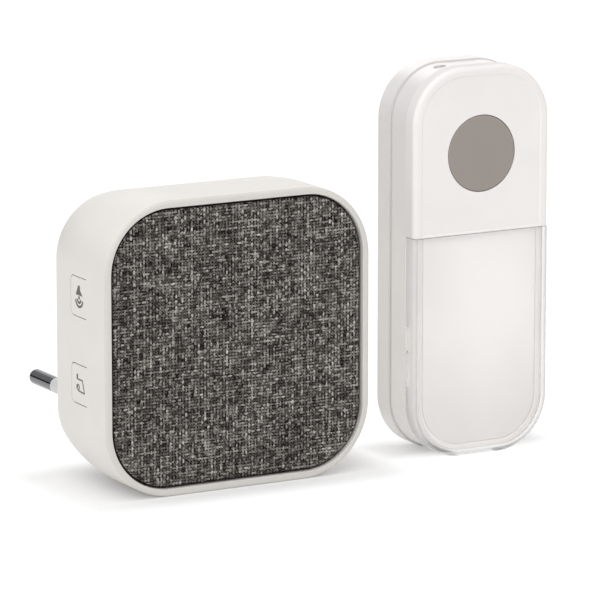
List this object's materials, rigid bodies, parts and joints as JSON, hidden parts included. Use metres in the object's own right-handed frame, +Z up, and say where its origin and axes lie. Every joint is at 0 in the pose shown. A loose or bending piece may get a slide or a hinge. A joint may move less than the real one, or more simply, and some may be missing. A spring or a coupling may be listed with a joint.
{
  "type": "wireless doorbell",
  "caption": "Plug-in door chime with a fabric speaker front, standing beside its slim radio bell-push transmitter with a round push and a clear name cover.",
  "frame": {"origin": "centre of the bounding box of the two units, at the surface that they stand on", "axes": "+X to the right across both fronts, +Y to the back, towards the plug pins, +Z up"},
  "size_m": [0.1292, 0.06, 0.1014],
  "materials": {
    "shell_white": "fine satin moulded plastic",
    "push_white": "satin moulded plastic",
    "push_grey": "matt",
    "cloth": "heathered plain weave",
    "panel_black": "matt",
    "clear_cover": "clear, polished",
    "card": "matt",
    "pin_metal": "bright nickel plate",
    "sleeve_white": "satin",
    "speaker_metal": "black paint",
    "speaker_paper": "pressed pulp",
    "foam": "matt foam",
    "board_green": "lacquered board",
    "component_dark": "moulded",
    "component_yellow": "moulded",
    "steel": "zinc plate",
    "silicone": "satin",
    "lamp_clear": "clear resin"
  },
  "bodies": {
    "chime_and_bracket": {"chime_housing": "shell_white", "grille_panel": "panel_black", "grille_fabric": "cloth", "speaker_gasket": "foam", "speaker_basket": "speaker_metal", "speaker_magnet": "speaker_metal", "speaker_cone": "speaker_paper", "key_switches": "component_dark", "key_board": "board_green", "main_board": "board_green", "mains_capacitor": "component_yellow", "smoothing_capacitors": "component_dark", "power_transformer": "speaker_metal", "sound_chip": "component_dark", "radio_module": "board_green", "rear_cover": "shell_white", "plug_pins": "pin_metal", "pin_sleeves": "sleeve_white", "pin_contacts": "steel", "rear_screws": "steel", "board_screws": "steel", "wall_bracket": "push_white"},
    "volume_key": {"volume_key": "shell_white"},
    "melody_key": {"melody_key": "shell_white"},
    "volume_plunger": {"volume_plunger": "component_dark"},
    "melody_plunger": {"melody_plunger": "component_dark"},
    "transmitter": {"push_housing": "push_white", "front_cap": "push_white", "push_membrane": "silicone", "name_card": "card", "push_board": "board_green", "push_switch": "component_dark", "push_chip": "component_dark", "button_cell": "steel", "cell_pad": "steel", "cell_clip": "steel", "push_board_screws": "steel", "status_led": "lamp_clear"},
    "bell_push": {"bell_push": "push_grey", "push_plunger": "component_dark"},
    "name_cover": {"name_cover": "clear_cover"}
  },
  "joints": [
    {"name": "volume_key_press", "type": "hinge", "parent": "chime_and_bracket", "child": "volume_key", "pos_m": [-0.06265, -0.0198, 0.05], "axis": [0, 0, -1], "range_deg": [0, 3], "stiffness_Nm_per_rad": 0.2},
    {"name": "volume_plunger_travel", "type": "slide", "parent": "chime_and_bracket", "child": "volume_plunger", "axis": [1, 0, 0], "range_m": [0, 0.0003]},
    {"name": "melody_key_press", "type": "hinge", "parent": "chime_and_bracket", "child": "melody_key", "pos_m": [-0.06265, -0.0198, 0.0278], "axis": [0, 0, -1], "range_deg": [0, 3], "stiffness_Nm_per_rad": 0.2},
    {"name": "melody_plunger_travel", "type": "slide", "parent": "chime_and_bracket", "child": "melody_plunger", "axis": [1, 0, 0], "range_m": [0, 0.0003]},
    {"name": "transmitter_unclip", "type": "slide", "parent": "chime_and_bracket", "child": "transmitter", "axis": [0, -1, 0], "range_m": [0, 0.012]},
    {"name": "bell_push_press", "type": "slide", "parent": "transmitter", "child": "bell_push", "axis": [0, 1, 0], "range_m": [0, 0.0006], "stiffness_N_per_m": 1500, "springref_m": -0.0004},
    {"name": "name_cover_unclip", "type": "slide", "parent": "transmitter", "child": "name_cover", "axis": [0, -1, 0], "range_m": [0, 0.012]}
  ],
  "couplings": [
    {"joint": "volume_plunger_travel", "follows": "volume_key_press", "m_per_rad": 0.0053},
    {"joint": "melody_plunger_travel", "follows": "melody_key_press", "m_per_rad": 0.0053}
  ]
}
